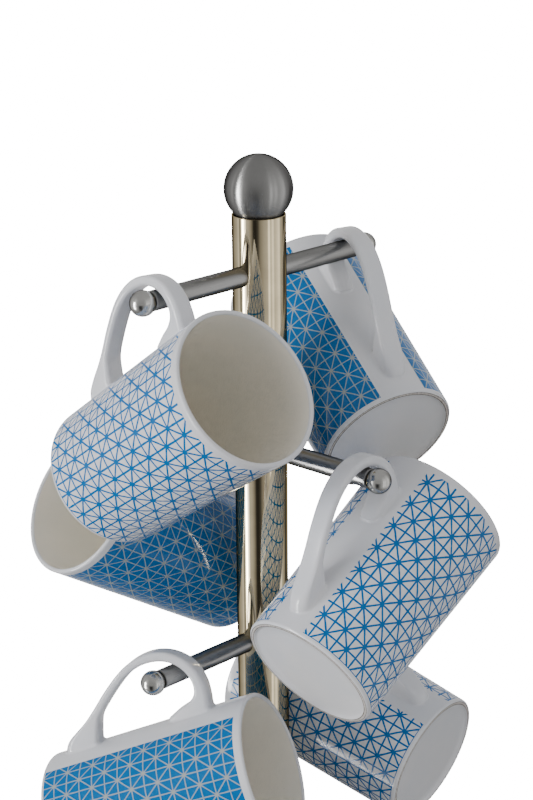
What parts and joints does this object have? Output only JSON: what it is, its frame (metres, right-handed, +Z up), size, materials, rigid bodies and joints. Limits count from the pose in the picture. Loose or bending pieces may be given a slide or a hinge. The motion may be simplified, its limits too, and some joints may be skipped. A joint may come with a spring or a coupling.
{
  "type": "mug tree",
  "caption": "Free-standing mug tree: a plated tube post on a weighted round base, straight rod arms with ball tips, a ball finial, and handled mugs that hang from the arms and lift off.",
  "frame": {"origin": "centre of the base pad's underside, where the post's axis meets the table", "axes": "+Z up along the post; -Y is the front, from which the top and bottom arms' near ends point to the left and the middle arm's to the right; +X is to the right"},
  "size_m": [0.2289, 0.2265, 0.3918],
  "materials": {
    "plated_steel": "polished",
    "brushed_steel": "satin",
    "polished_steel": "polished",
    "zinc_steel": "satin",
    "cast_weight": "matte",
    "nylon": "satin",
    "pad_rubber": "matte",
    "white_print_china": "gloss",
    "blue_print_china": "gloss"
  },
  "bodies": {
    "stand": {"base_pad": "pad_rubber", "base_weight": "cast_weight", "base_cover": "brushed_steel", "base_bolt": "zinc_steel", "base_washer": "zinc_steel", "post_tube": "plated_steel", "post_bottom_plug": "zinc_steel", "post_top_plug": "nylon", "finial_stud": "zinc_steel", "finial_ball": "brushed_steel", "arm_rod_bottom": "brushed_steel", "arm_block_bottom": "nylon", "arm_tip_bottom_front": "polished_steel", "tip_stud_bottom_front": "zinc_steel", "arm_tip_bottom_back": "polished_steel", "tip_stud_bottom_back": "zinc_steel", "arm_rod_middle": "brushed_steel", "arm_block_middle": "nylon", "arm_tip_middle_front": "polished_steel", "tip_stud_middle_front": "zinc_steel", "arm_tip_middle_back": "polished_steel", "tip_stud_middle_back": "zinc_steel", "arm_rod_top": "brushed_steel", "arm_block_top": "nylon", "arm_tip_top_front": "polished_steel", "tip_stud_top_front": "zinc_steel", "arm_tip_top_back": "polished_steel", "tip_stud_top_back": "zinc_steel"},
    "mug_bottom_front": {"mug_bottom_front": "blue_print_china"},
    "mug_bottom_back": {"mug_bottom_back": "white_print_china"},
    "mug_middle_front": {"mug_middle_front": "white_print_china"},
    "mug_middle_back": {"mug_middle_back": "blue_print_china"},
    "mug_top_front": {"mug_top_front": "white_print_china"},
    "mug_top_back": {"mug_top_back": "blue_print_china"}
  },
  "joints": [
    {"name": "mug_bottom_front_lift_off", "type": "slide", "parent": "stand", "child": "mug_bottom_front", "axis": [-0.7167, -0.6754, 0.1736], "range_m": [0, 0.08]},
    {"name": "mug_bottom_back_lift_off", "type": "slide", "parent": "stand", "child": "mug_bottom_back", "axis": [0.7167, 0.6754, 0.1736], "range_m": [0, 0.08]},
    {"name": "mug_middle_front_lift_off", "type": "slide", "parent": "stand", "child": "mug_middle_front", "axis": [0.733, -0.6577, 0.1737], "range_m": [0, 0.08]},
    {"name": "mug_middle_back_lift_off", "type": "slide", "parent": "stand", "child": "mug_middle_back", "axis": [-0.733, 0.6577, 0.1737], "range_m": [0, 0.08]},
    {"name": "mug_top_front_lift_off", "type": "slide", "parent": "stand", "child": "mug_top_front", "axis": [-0.706, -0.6866, 0.1737], "range_m": [0, 0.08]},
    {"name": "mug_top_back_lift_off", "type": "slide", "parent": "stand", "child": "mug_top_back", "axis": [0.706, 0.6866, 0.1737], "range_m": [0, 0.08]}
  ]
}
